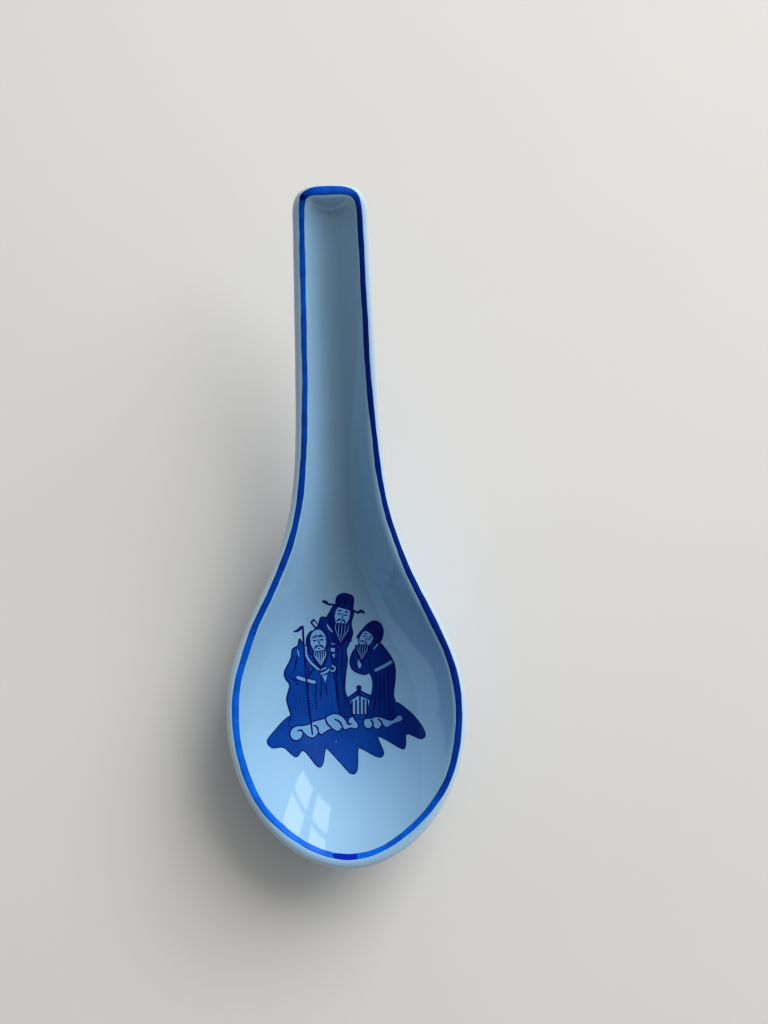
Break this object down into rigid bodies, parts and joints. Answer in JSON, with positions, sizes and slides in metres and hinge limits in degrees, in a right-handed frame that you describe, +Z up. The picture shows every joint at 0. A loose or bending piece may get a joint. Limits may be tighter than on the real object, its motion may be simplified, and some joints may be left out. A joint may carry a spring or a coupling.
{
  "type": "chinese soup spoon",
  "caption": "Porcelain soup spoon with a deep egg-shaped bowl on an oval foot, a rising channelled handle, a blue rim line and a blue print of robed elders.",
  "frame": {"origin": "on the table, below the middle of the spoon's outline", "axes": "+Y from the tip of the bowl towards the end of the handle, +Z up out of the bowl"},
  "size_m": [0.047, 0.13, 0.044],
  "materials": {
    "bare_clay": "fine matte, unglazed",
    "clear_glaze": "glossy, faintly blue white",
    "rim_blue": "glossy cobalt brush line",
    "print_blue": "glossy cobalt print, finely hatched"
  },
  "bodies": {
    "root": {"clay_body": "bare_clay", "foot_ring": "bare_clay", "glaze_coat": "clear_glaze", "glaze_foot_well": "clear_glaze", "line_left_stroke": "rim_blue", "line_right_stroke": "rim_blue", "picture_ground": "print_blue", "picture_left_elder": "print_blue", "picture_middle_elder": "print_blue", "picture_right_elder": "print_blue", "picture_staff": "print_blue", "picture_censer": "print_blue"}
  },
  "joints": []
}
